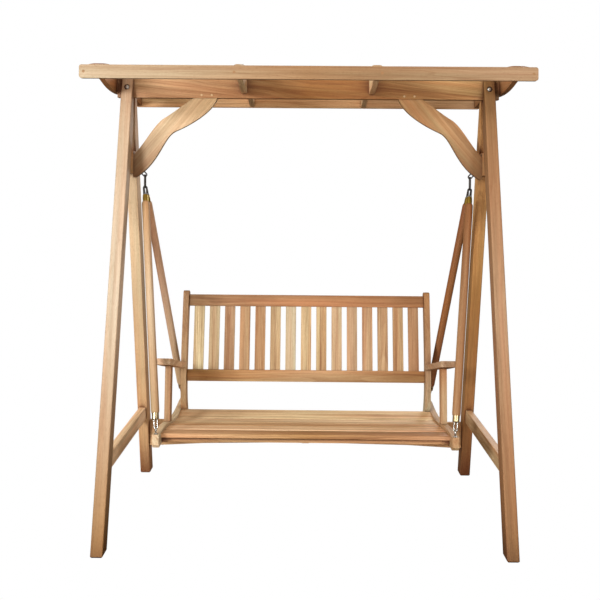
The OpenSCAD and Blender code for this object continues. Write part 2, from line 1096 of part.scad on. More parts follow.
function rail_edge() = concat(
    [[rail_front, rail_z_front]],
    curve([rail_flat_front, rail_z_front], [rail_bend_front, rail_z_front],
        [rail_bend_rear, rail_dip], [rail_flat_rear, rail_z_rear], 16),
    [[rail_rear, rail_z_rear]]);

module rail_outline() {
    edge = rail_edge();
    c = 14;
    difference() {
        polygon(concat(edge, [for (p = reversed(edge)) [p[0], p[1] - rail_h]]));
        translate([rail_front, rail_z_front - rail_h])
            rotate(45)
                square(c * sqrt(2), center = true);
        translate([rail_rear, rail_z_rear - rail_h])
            rotate(45)
                square(c * sqrt(2), center = true);
    }
}

module rail_shape() {
    difference() {
        along_x(rail_in, rail_in + rail_t)
            rail_outline();
        at_rail_eyes()
            translate([0, 0, -ring_rc - wire_d / 2 - ring_neck - rail_eye_shank - fit])
                cylinder(d = shank_d, h = rail_eye_shank + fit + 1);
        post_bolt_bore();
    }
}

module right_side_rail() {
    color("#b98f5e")
        rail_shape();
}

module left_side_rail() {
    color("#b98f5e")
        mirrored_x()
            rail_shape();
}

// the seat's top line at gap i, and a slat as a board laid along that line
function joint(i) = [seat_front + i * seat_pitch, seat_line[i]];
function slat_dir(i) = (joint(i + 1) - joint(i)) / norm(joint(i + 1) - joint(i));
function slat_start(i) = joint(i) + slat_dir(i) * seat_gap / 2;
function slat_end(i) = joint(i + 1) - slat_dir(i) * seat_gap / 2;
function under(i) = square_to(slat_dir(i)) * seat_t;

module seat_slat_shape(i) {
    r = i == 0 ? 7 : 3;
    mid = (slat_start(i) + slat_end(i) + under(i)) / 2;
    ang = atan2(slat_dir(i)[1], slat_dir(i)[0]);
    along_x(-rail_in, rail_in)
        translate(mid)
            rotate(ang)
                eased(norm(slat_end(i) - slat_start(i)), seat_t, r);
}

module seat_slat_1() {
    color("#d2ab79")
        seat_slat_shape(0);
}

module seat_slat_2() {
    color("#caa06c")
        seat_slat_shape(1);
}

module seat_slat_3() {
    color("#cfa671")
        seat_slat_shape(2);
}

module seat_slat_4() {
    color("#c59b67")
        seat_slat_shape(3);
}

// the rear slat is notched at both ends around the back posts
module seat_slat_5() {
    color("#caa06c")
        difference() {
            seat_slat_shape(4);
            both_sides()
                along_x(post_in - notch_gap, rail_in + 1)
                    post_outline(notch_gap);
        }
}

// the slats' undersides, front to rear: what the bearers are shaped to
function seat_under() = [for (i = [0:4]) each [slat_start(i) + under(i), slat_end(i) + under(i)]];

module bearer_outline(h) {
    top = seat_under();
    intersection() {
        polygon(concat(top, [for (p = reversed(top)) [p[0], p[1] - h]]));
        translate([apron_y + apron_t, 0])
            square([seat_rail_y - apron_y - apron_t, seat_line[0]]);
    }
}

module side_bearers() {
    color("#a97f52")
        both_sides()
            along_x(rail_in - cleat_t, rail_in)
                bearer_outline(cleat_h);
}

module middle_bearer() {
    color("#a97f52")
        along_x(-bearer_t / 2, bearer_t / 2)
            bearer_outline(bearer_h);
}

// a rail under the seat: its lower edge at z, its top shaped to the slats above it
module under_seat_outline(y, z) {
    intersection() {
        translate([y, z])
            square([apron_t, seat_pitch]);
        polygon(concat(seat_under(), [[seat_rear, 0], [seat_front, 0]]));
    }
}

module front_apron() {
    color("#c59b67")
        along_x(-rail_in, rail_in)
            under_seat_outline(apron_y, seat_line[0] - seat_t - apron_h);
}

module rear_seat_rail() {
    color("#a97f52")
        along_x(-rail_in, rail_in)
            under_seat_outline(seat_rail_y, seat_line[4] - seat_t - seat_rail_h);
}

// ---- back ----------------------------------------------------------------------

// a back post's outline: a ribbon of even depth along its curved centre line
module post_outline(grow = 0) {
    n = 20;
    half = post_d / 2 + grow;
    ts = [for (i = [0:n]) i / n];
    front = [for (t = ts)
        bez(post_a, post_b, post_c, post_e, t)
            - square_to(bez_dir(post_a, post_b, post_c, post_e, t)) * half];
    rear = [for (t = ts)
        bez(post_a, post_b, post_c, post_e, t)
            + square_to(bez_dir(post_a, post_b, post_c, post_e, t)) * half];
    up = (post_e - post_c) / norm(post_e - post_c);
    out = square_to(up);
    top = [for (a = [165:-15:15]) post_e + out * half * cos(a) + up * cap * sin(a)];
    polygon(concat(front, top, reversed(rear)));
}

module post_bolt_bore() {
    translate([post_in - 10, bolt_post_y, bolt_post_z])
        rotate([0, 90, 0])
            cylinder(d = bolt_d - 2 + bore_fit, h = 3 * rail_t);
}

module post_shape() {
    difference() {
        along_x(post_in, rail_in)
            post_outline();
        post_bolt_bore();
    }
}

module right_back_post() {
    color("#b98f5e")
        post_shape();
}

module left_back_post() {
    color("#b98f5e")
        mirrored_x()
            post_shape();
}

// places a child in the plane of the back: z runs up the slats from the lower rail
module on_back() {
    translate([0, low[0], low[1]])
        rotate([-back_lean, 0, 0])
            children();
}

function slat_x(i) = (i - (slat_count - 1) / 2) * slat_pitch;

module back_slat_at(i, grow = 0) {
    z0 = back_rail_h / 2 - slat_tongue - grow;
    z1 = back_len - back_rail_h / 2 + slat_tongue + grow;
    translate([slat_x(i) - slat_w / 2 - grow, -slat_t / 2 - grow, z0])
        cube([slat_w + 2 * grow, slat_t + 2 * grow, z1 - z0]);
}

module back_rail_shape(z) {
    difference() {
        translate([-post_in, -back_rail_t / 2, z - back_rail_h / 2])
            cube([2 * post_in, back_rail_t, back_rail_h]);
        for (i = [0:slat_count - 1]) {
            back_slat_at(i, fit);
        }
    }
}

module back_lower_rail() {
    color("#c59b67")
        on_back()
            back_rail_shape(0);
}

module back_top_rail() {
    color("#c59b67")
        on_back()
            back_rail_shape(back_len);
}

module back_slats(first, last) {
    on_back()
        for (i = [first:last]) {
            back_slat_at(i);
        }
}

third = slat_count / 3;

module left_back_slats() {
    color("#d2ab79")
        back_slats(0, third - 1);
}

module middle_back_slats() {
    color("#caa06c")
        back_slats(third, 2 * third - 1);
}

module right_back_slats() {
    color("#d2ab79")
        back_slats(2 * third, slat_count - 1);
}

// ---- arms ----------------------------------------------------------------------

arm_r = 20;
// long enough to run into the back post, which its rear end is then cut to fit
arm_len = (post_c[0] - arm_front) / cos(arm_slope);
arm_out = 7;
arm_x = rail_x + arm_out;
arm_x_rear = rail_in - post_t / 2;

// places a child in the plane of an arm: the origin is the middle of its front end
module on_arm() {
    translate([arm_x, arm_front, arm_top])
        rotate([-arm_slope, 0, 0])
            children();
}

// plan of an arm: round front corners, full width to the post, then drawn in
module arm_plan() {
    h = arm_w / 2;
    hr = arm_w_rear / 2;
    s = arm_x_rear - arm_x;
    y1 = 0.4 * arm_len;
    y2 = 0.75 * arm_len;
    right_side = curve([h, y1], [h, y2], [s + hr, y2], [s + hr, arm_len]);
    left_side = curve([s - hr, arm_len], [s - hr, y2], [-h, y2], [-h, y1]);
    polygon(concat(
        [for (a = [0:15:90]) [-h + arm_r - arm_r * cos(a), arm_r - arm_r * sin(a)]],
        [for (a = [90:-15:0]) [h - arm_r + arm_r * cos(a), arm_r - arm_r * sin(a)]],
        right_side, left_side));
}

module arm_shape() {
    difference() {
        on_arm()
            translate([0, 0, -arm_t])
                linear_extrude(arm_t)
                    arm_plan();
        along_x(rail_in - arm_w, rail_in + arm_w)
            post_and_behind();
    }
}

// the back post's outline with everything behind it
module post_and_behind() {
    post_outline();
    translate([post_d / 3, 0])
        post_outline();
    translate([2 * post_d / 3, 0])
        post_outline();
    translate([4 * post_d / 3, 0])
        post_outline();
}

module right_arm() {
    color("#c59b67")
        arm_shape();
}

module left_arm() {
    color("#c59b67")
        mirrored_x()
            arm_shape();
}

// height of an arm's underside at y
function arm_under(y) = arm_top - (y - arm_front) * tan(arm_slope) - arm_t / cos(arm_slope);

arm_post_t = rail_t - 2;

module arm_post_shape() {
    y0 = arm_post_front;
    y1 = arm_post_front + arm_post_d;
    l = arm_post_lean;
    z0 = rail_z_front - rail_h;
    difference() {
        along_x(rail_x - arm_post_t / 2, rail_x + arm_post_t / 2)
            polygon([[y0, z0], [y1, z0], [y1 + l, arm_under(y1 + l)],
                [y0 + l, arm_under(y0 + l)]]);
        along_x(rail_in - rail_t, rail_in + 2 * rail_t)
            rail_and_below();
    }
}

module rail_and_below() {
    rail_outline();
    translate([0, -rail_h / 2])
        rail_outline();
}

module right_arm_post() {
    color("#b98f5e")
        arm_post_shape();
}

module left_arm_post() {
    color("#b98f5e")
        mirrored_x()
            arm_post_shape();
}

module bench_bolts() {
    d = bolt_d - 2;
    color("#b4b4b0")
        both_sides()
            translate([0, bolt_post_y, bolt_post_z]) {
                translate([post_in, 0, 0])
                    rotate([0, 90, 0])
                        cylinder(d = d, h = post_t + rail_t);
                translate([rail_in + rail_t, 0, 0])
                    rotate([0, 90, 0])
                        dome_head();
                translate([post_in, 0, 0])
                    rotate([0, -90, 0])
                        hex_nut();
            }
}

// ---- every node ----------------------------------------------------------------

left_front_leg();
right_front_leg();
left_rear_leg();
right_rear_leg();
left_side_stretcher();
right_side_stretcher();
rear_stretcher();
left_leg_tie();
right_leg_tie();
ridge_beam();
left_knee_brace();
right_knee_brace();
left_end_rafter();
left_middle_rafter();
right_middle_rafter();
right_end_rafter();
front_roof_batten();
rear_roof_batten();
leg_bolts();
brace_pegs();
roof_screws();
roof_plugs();
left_hanging_eye();
right_hanging_eye();
left_link();
right_link();
left_front_rod();
right_front_rod();
left_rear_rod();
right_rear_rod();
upper_bails();
upper_ferrules();
lower_ferrules();
lower_bails();
rail_eyes();
left_side_rail();
right_side_rail();
front_apron();
rear_seat_rail();
side_bearers();
middle_bearer();
seat_slat_1();
seat_slat_2();
seat_slat_3();
seat_slat_4();
seat_slat_5();
left_back_post();
right_back_post();
back_top_rail();
back_lower_rail();
left_back_slats();
middle_back_slats();
right_back_slats();
left_arm();
right_arm();
left_arm_post();
right_arm_post();
bench_bolts();
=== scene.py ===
"""Looks of the teak porch swing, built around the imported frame."""

import math
import random

import bmesh
import bpy
from mathutils import Matrix, Vector


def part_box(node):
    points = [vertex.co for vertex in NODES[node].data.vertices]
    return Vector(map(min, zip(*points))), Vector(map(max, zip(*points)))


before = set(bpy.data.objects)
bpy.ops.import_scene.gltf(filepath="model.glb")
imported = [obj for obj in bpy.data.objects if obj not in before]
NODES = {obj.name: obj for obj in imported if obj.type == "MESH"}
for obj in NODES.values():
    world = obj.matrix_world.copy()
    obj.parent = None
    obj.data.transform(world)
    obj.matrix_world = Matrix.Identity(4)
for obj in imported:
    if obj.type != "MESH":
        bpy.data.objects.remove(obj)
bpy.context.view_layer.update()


# ---- node graph helpers --------------------------------------------------------

class Graph:
    """A material's node tree, with short calls for the nodes used here."""

    def __init__(self, name):
        self.mat = bpy.data.materials.new(name)
        self.mat.use_nodes = True
        self.tree = self.mat.node_tree
        self.tree.nodes.clear()
        self.out = self.tree.nodes.new("ShaderNodeOutputMaterial")
        self.bsdf = self.tree.nodes.new("ShaderNodeBsdfPrincipled")
        self.tree.links.new(self.bsdf.outputs[0], self.out.inputs[0])

    def put(self, socket, value):
        """Sets a socket to a number or colour, or links it to another socket."""
        if isinstance(value, bpy.types.NodeSocket):
            self.tree.links.new(value, socket)
        else:
            socket.default_value = value

    def math(self, op, a, b=0.0, c=0.0):
        n = self.tree.nodes.new("ShaderNodeMath")
        n.operation = op
        for i, v in enumerate((a, b, c)):
            self.put(n.inputs[i], v)
        return n.outputs[0]

    def vmath(self, op, a, b=(0, 0, 0)):
        """A vector operation; the dot product gives a number."""
        n = self.tree.nodes.new("ShaderNodeVectorMath")
        n.operation = op
        self.put(n.inputs[0], a)
        self.put(n.inputs[1], b)
        return n.outputs["Value" if op == "DOT_PRODUCT" else "Vector"]

    def coords(self, kind="Object"):
        return self.tree.nodes.new("ShaderNodeTexCoord").outputs[kind]

    def mapping(self, v, loc=(0, 0, 0), rot=(0, 0, 0), scale=(1, 1, 1)):
        n = self.tree.nodes.new("ShaderNodeMapping")
        self.put(n.inputs["Vector"], v)
        n.inputs["Location"].default_value = loc
        n.inputs["Rotation"].default_value = rot
        n.inputs["Scale"].default_value = scale
        return n.outputs[0]

    def noise(self, v, scale, detail=2.0, rough=0.5, out="Fac"):
        n = self.tree.nodes.new("ShaderNodeTexNoise")
        self.put(n.inputs["Vector"], v)
        n.inputs["Scale"].default_value = scale
        n.inputs["Detail"].default_value = detail
        n.inputs["Roughness"].default_value = rough
        return n.outputs[out]

    def lottery(self, w, out):
        """A random value or colour for each whole number w."""
        n = self.tree.nodes.new("ShaderNodeTexWhiteNoise")
        n.noise_dimensions = "1D"
        self.put(n.inputs["W"], w)
        return n.outputs[out]

    def split(self, v):
        n = self.tree.nodes.new("ShaderNodeSeparateXYZ")
        self.put(n.inputs[0], v)
        return n.outputs

    def ramp(self, v, stops, interpolation="LINEAR"):
        """A colour ramp over (position, grey or colour) stops."""
        n = self.tree.nodes.new("ShaderNodeValToRGB")
        self.put(n.inputs[0], v)
        cr = n.color_ramp
        cr.interpolation = interpolation
        while len(cr.elements) < len(stops):
            cr.elements.new(0.5)
        for e, (p, c) in zip(cr.elements, stops):
            e.position = p
            e.color = (c, c, c, 1) if isinstance(c, (int, float)) else (*c, 1)
        return n.outputs[0]

    def rise(self, v, start, full):
        """0 up to start, 1 from full on, straight between."""
        return self.ramp(v, [(0.0, 0.0), (start, 0.0), (full, 1.0), (1.0, 1.0)])

    def mix(self, fac, a, b, blend="MIX"):
        n = self.tree.nodes.new("ShaderNodeMix")
        n.data_type = "RGBA"
        n.blend_type = blend
        n.clamp_factor = True
        self.put(n.inputs["Factor"], fac)
        self.put(n.inputs[6], a if isinstance(a, bpy.types.NodeSocket) else (*a, 1))
        self.put(n.inputs[7], b if isinstance(b, bpy.types.NodeSocket) else (*b, 1))
        return n.outputs[2]

    def closeness(self, distance, samples=6):
        """0 in the open, up to 1 in corners and gaps narrower than distance."""
        n = self.tree.nodes.new("ShaderNodeAmbientOcclusion")
        n.samples = samples
        n.inputs["Distance"].default_value = distance
        return self.math("SUBTRACT", 1.0, n.outputs["AO"])

    def bump(self, height, strength, distance):
        n = self.tree.nodes.new("ShaderNodeBump")
        n.inputs["Strength"].default_value = strength
        n.inputs["Distance"].default_value = distance
        self.put(n.inputs["Height"], height)
        return n.outputs[0]


def srgb(r, g, b):
    """A colour given as 0 to 255 on a screen, as the linear one that shaders take."""
    return tuple(((c / 255 + 0.055) / 1.055) ** 2.4 if c > 10 else c / 255 / 12.92
                 for c in (r, g, b))


# ---- teak ----------------------------------------------------------------------

# a board's shades over its own mean colour, from dark late wood to the palest early wood
SHADES = ((0.42, 0.30, 0.22), (0.82, 0.75, 0.68), (1.12, 1.18, 1.22), (1.36, 1.56, 1.78))
PALEST = SHADES[-1]
SHADE_AT = (0.0, 0.34, 0.64, 1.0)
# the slow swings of hue along the grain, from rosy to olive
ROSY, OLIVE = (1.05, 0.97, 0.93), (0.95, 1.03, 1.04)
HUE_SWING = (0.36, 0.64)

# how far the pith lies from the middle of a board, and how far it strays sideways, in m
PITH_AWAY = (0.055, 0.11)
PITH_ASIDE = 0.02
# how far the boards of one row lie apart in the tree: across, across and along, in m
ROW_SCATTER = (0.05, 0.09, 3.0)
# slow bends of the rings: cells per metre and size in m
BEND_CELLS = (5.0, 5.0, 1.3)
BEND_SIZE = 0.07
# how much the pith leans from the board: at least, and more with more figure
LEAN, LEAN_BY_FIGURE = 0.012, 0.03
# the waviness of the rings: cells per metre and size in rings
WAVE_CELLS = (22, 22, 1.6)
WAVE_SIZE = 2.2
# brightness through one ring, from early wood to the late wood's dark line
RING_PROFILE = [(0.0, 0.25), (0.45, 0.55), (0.78, 0.95), (0.9, 0.12), (1.0, 0.25)]

# layers of grain: cells per metre across and along the board, detail and roughness
STREAKS = {
    "broad": (38, 0.9, 2.5, 0.55),
    "fine": (230, 4.5, 3.0, 0.6),
    "hair": (900, 16, 2.0, 0.6),
    "blotch": (4, 1.1, 2.0, 0.5),
    "hue": (26, 1.0, 1.5, 0.5),
    "rust": (60, 0.8, 1.0, 0.5),
    "pores": (1500, 60, 1.0, 0.5),
}
# how much each layer moves the shade
PROFILE_WEIGHT, RING_WEIGHT = 0.20, 0.14
STREAK_WEIGHTS = {"broad": 0.85, "fine": 0.66, "hair": 0.30, "blotch": 0.40}

RUST, RUST_AT, RUST_AMOUNT = srgb(128, 74, 42), (0.64, 0.74), 0.30
PORE, PORE_AMOUNT = srgb(98, 62, 36), 0.32
PORE_STOPS = [(0.0, 1.0), (0.33, 1.0), (0.40, 0.0), (1.0, 0.0)]
# end grain drinks the oil and reads darker
END_GRAIN, END_GRAIN_AT, END_GRAIN_AMOUNT = srgb(126, 82, 48), (0.72, 0.92), 0.34

# the painted shade, with some grime in the joints, that darkens the colour near other pieces, in
# joints and gaps; and how near a neighbour that starts, in m, with the closeness where it starts
# and where it is full: in the open, between the seat's slats, up under the roof, and on the rail
# behind the front edge of the seat, where the front slat's painted shadow falls
SHADE_AND_GRIME, SHADE_AND_GRIME_AMOUNT = (0.20, 0.10, 0.06), 0.95
OPEN = (0.035, 0.25, 0.85)
SLATTED = (0.020, 0.45, 0.95)
SHELTERED = (0.30, 0.17, 0.56)
UNDERCUT = (0.040, 0.10, 0.34)

# the oiled surface
ROUGHNESS, ROUGHNESS_SWING, PORE_ROUGHNESS = 0.56, 0.22, 0.12
WOOD_SPECULAR = 0.32
RELIEF, RELIEF_DEPTH = 0.32, 0.0006


def scaled(g, v, cells, shift):
    return g.vmath("ADD", g.vmath("MULTIPLY", v, cells), shift)


def row_index(g, row):
    """Which board of a row a point is on, counted from 0 along X."""
    pitch, start = row
    x = g.split(g.coords())[0]
    return g.math("FLOOR", g.math("DIVIDE", g.math("SUBTRACT", x, start), pitch))


def board_colour(g, colours, axis, ends, row):
    """The board's mean colour, painted light and shade included: it drifts from end to end, or steps
    from board to board.
    """
    if row:
        n = len(colours)
        at = g.math("DIVIDE", g.math("ADD", row_index(g, row), 0.5), n)
        return g.ramp(at, [(i / n, srgb(*c)) for i, c in enumerate(colours)], "CONSTANT")
    if len(colours) == 1:
        return srgb(*colours[0])
    low, high = ends
    s = g.vmath("DOT_PRODUCT", g.coords(), tuple(axis))
    s = g.math("DIVIDE", g.math("SUBTRACT", s, low), high - low)
    last = len(colours) - 1
    return g.ramp(s, [(i / last, srgb(*c)) for i, c in enumerate(colours)])


def place_in_tree(g, rnd, axis, centre, facing, row, seed):
    """Coordinates with the pith at 0, 0 and the grain along Z."""
    turn = axis.rotation_difference(Vector((0, 0, 1)))
    local = turn.to_matrix() @ Vector(centre)
    side = turn.to_matrix() @ Vector(facing)
    side.z = 0
    side.normalize()
    pith = side * rnd.uniform(*PITH_AWAY) + Vector((rnd.uniform(-PITH_ASIDE, PITH_ASIDE), 0, 0))
    p = g.mapping(g.coords(), loc=tuple(pith - local), rot=turn.to_euler())
    if row:
        draw = g.lottery(g.math("ADD", row_index(g, row), seed * 3.7 + 0.31), "Color")
        shift = g.vmath("MULTIPLY", g.vmath("SUBTRACT", draw, (0.5, 0.5, 0.5)), ROW_SCATTER)
        p = g.vmath("ADD", p, shift)
    return p


def growth_rings(g, rnd, p, seed, ring, figure):
    """Where a point lies in its growth ring, as a brightness, and a value for the whole ring."""
    bend = g.noise(scaled(g, p, BEND_CELLS, (seed * 1.7, seed * 0.9, seed * 2.3)), 1.0, out="Color")
    size = BEND_SIZE * figure
    bend = g.vmath("MULTIPLY", g.vmath("SUBTRACT", bend, (0.5, 0.5, 0.5)), (size, size, 0))
    x, y, z = g.split(g.vmath("ADD", p, bend))
    lean = LEAN + LEAN_BY_FIGURE * figure * rnd.random()
    x = g.math("ADD", x, g.math("MULTIPLY", z, lean * rnd.choice((-1, 1))))
    r = g.math("SQRT", g.math("ADD", g.math("MULTIPLY", x, x), g.math("MULTIPLY", y, y)))
    wave = g.noise(scaled(g, p, WAVE_CELLS, (seed, 0, 0)), 1.0)
    phase = g.math("ADD", g.math("DIVIDE", r, ring), g.math("MULTIPLY", wave, WAVE_SIZE))
    profile = g.ramp(g.math("FRACT", phase), RING_PROFILE)
    return profile, g.lottery(g.math("FLOOR", phase), "Value")


def teak(name, colours, axis, centre, ends, seed, ring=0.0065, figure=0.5, contrast=1.0,
         row=None, facing=(0.3, 1.0, 0.2), painted_shade_reach=OPEN):
    """Solid teak: growth rings around a pith beside the board, streaks and pores along it.

    axis is the board's grain direction, centre its middle and ends where it starts and ends
    along axis. row = (pitch, start) along X makes every board of a row its own. facing is the
    way the pith lies, and the last argument says how painted shade, with some grime, darkens the
    colour near other pieces.
    """
    rnd = random.Random(seed)
    g = Graph(name)
    axis = Vector(axis).normalized()
    p = place_in_tree(g, rnd, axis, centre, facing, row, seed)
    profile, ring_value = growth_rings(g, rnd, p, seed, ring, figure)
    a, b, c = seed * 5.1, seed * 2.9, seed * 1.3
    shifts = {"hue": (b, c, a), "rust": (c, a, b)}
    streak = {}
    for layer, (across, along, detail, rough) in STREAKS.items():
        shift = shifts.get(layer, (a, b, c))
        streak[layer] = g.noise(scaled(g, p, (across, across, along), shift), 1.0, detail, rough)

    # the shade: rings and streaks together
    shade = g.math("MULTIPLY", g.math("SUBTRACT", profile, 0.5), PROFILE_WEIGHT)
    parts = [(ring_value, RING_WEIGHT)] + [(streak[k], w) for k, w in STREAK_WEIGHTS.items()]
    for part, weight in parts:
        shade = g.math("MULTIPLY_ADD", g.math("SUBTRACT", part, 0.5), weight, shade)
    shade = g.math("MULTIPLY_ADD", shade, contrast, 0.5)
    colour = g.ramp(shade, [(at, tuple(v / most for v, most in zip(tone, PALEST)))
                            for at, tone in zip(SHADE_AT, SHADES)])
    colour = g.vmath("MULTIPLY", colour, PALEST)
    colour = g.vmath("MULTIPLY", colour, board_colour(g, colours, axis, ends, row))

    # what lies over it: hue, rusty mineral streaks, open pores, end grain, and painted shade with some
    # grime near other pieces
    hue = g.rise(streak["hue"], *HUE_SWING)
    colour = g.mix(1.0, colour, g.mix(hue, ROSY, OLIVE), "MULTIPLY")
    rust = g.math("MULTIPLY", g.rise(streak["rust"], *RUST_AT), RUST_AMOUNT * contrast)
    colour = g.mix(rust, colour, RUST)
    pores = g.ramp(streak["pores"], PORE_STOPS)
    colour = g.mix(g.math("MULTIPLY", pores, PORE_AMOUNT), colour, PORE)
    across = g.math("ABSOLUTE", g.vmath("DOT_PRODUCT", g.coords("Normal"), tuple(axis)))
    end_grain = g.math("MULTIPLY", g.rise(across, *END_GRAIN_AT), END_GRAIN_AMOUNT)
    colour = g.mix(end_grain, colour, END_GRAIN)
    # painted shade, with some grime: the colour darkens where other pieces are near
    reach, start, full = painted_shade_reach
    shade_and_grime = g.math("MULTIPLY", g.rise(g.closeness(reach), start, full), SHADE_AND_GRIME_AMOUNT)
    colour = g.mix(shade_and_grime, colour, g.mix(1.0, colour, SHADE_AND_GRIME, "MULTIPLY"))
    g.put(g.bsdf.inputs["Base Color"], colour)

    rough = g.math("MULTIPLY_ADD", g.math("SUBTRACT", streak["fine"], 0.5), ROUGHNESS_SWING, ROUGHNESS)
    rough = g.math("MULTIPLY_ADD", pores, PORE_ROUGHNESS, rough)
    g.put(g.bsdf.inputs["Roughness"], rough)
    g.bsdf.inputs["Specular IOR Level"].default_value = WOOD_SPECULAR
    height = g.math("MULTIPLY_ADD", profile, 0.35, g.math("MULTIPLY", streak["fine"], 0.6))
    height = g.math("MULTIPLY_ADD", pores, -0.8, height)
    g.put(g.bsdf.inputs["Normal"], g.bump(height, RELIEF, RELIEF_DEPTH))
    return g.mat


# ---- metals --------------------------------------------------------------------

# cells per metre of the clouds, specks and scratches on metal
CLOUDS, SPECKS, SCRATCHES = 49.0, 560.0, 420.0
# painted shade, with some grime, darkens metal within this reach of its neighbours, in m
METAL_REACH = 0.008
METAL_SHADE_AND_GRIME = srgb(40, 36, 32)


def metal(name, base, dull, rough, grime=0.35):
    """Worn metal: grime is how much of it has gone over to the dull colour."""
    g = Graph(name)
    p = g.coords()
    cloud = g.noise(p, CLOUDS, 3.0, 0.6)
    speck = g.noise(p, SPECKS, 3.0, 0.65)
    scratch = g.noise(g.mapping(p, rot=(0.3, 0.7, 0.2), scale=(6, 1, 1)), SCRATCHES)
    colour = g.mix(g.math("MULTIPLY", g.rise(cloud, 0.38, 0.68), grime), base, dull)
    colour = g.mix(g.math("MULTIPLY", g.rise(speck, 0.6, 0.72), grime * 0.7), colour, dull)
    # painted shade, with some grime, where other pieces are near
    shade_and_grime = g.rise(g.closeness(METAL_REACH), 0.3, 0.85)
    colour = g.mix(g.math("MULTIPLY", shade_and_grime, 0.8), colour, METAL_SHADE_AND_GRIME)
    g.put(g.bsdf.inputs["Base Color"], colour)
    g.bsdf.inputs["Metallic"].default_value = 1.0
    g.put(g.bsdf.inputs["Roughness"],
          g.math("ADD", g.math("MULTIPLY_ADD", cloud, 0.25, rough - 0.12),
                 g.math("MULTIPLY", scratch, 0.10)))
    height = g.math("ADD", g.math("MULTIPLY", speck, 0.6), g.math("MULTIPLY", scratch, 0.4))
    g.put(g.bsdf.inputs["Normal"], g.bump(height, 0.15, 0.0003))
    return g.mat


# ---- which board is which ------------------------------------------------------

def mid_of(node):
    a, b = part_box(node)
    return (a + b) / 2


def mean(points):
    return sum(points, Vector()) / len(points)


def chord(node):
    """Grain direction of a leaning piece: from the middle of its foot to that of its top."""
    points = [v.co for v in NODES[node].data.vertices]
    low = min(p.z for p in points)
    high = max(p.z for p in points)
    end = (high - low) * 0.06
    return (mean([p for p in points if p.z > high - end])
            - mean([p for p in points if p.z < low + end]))


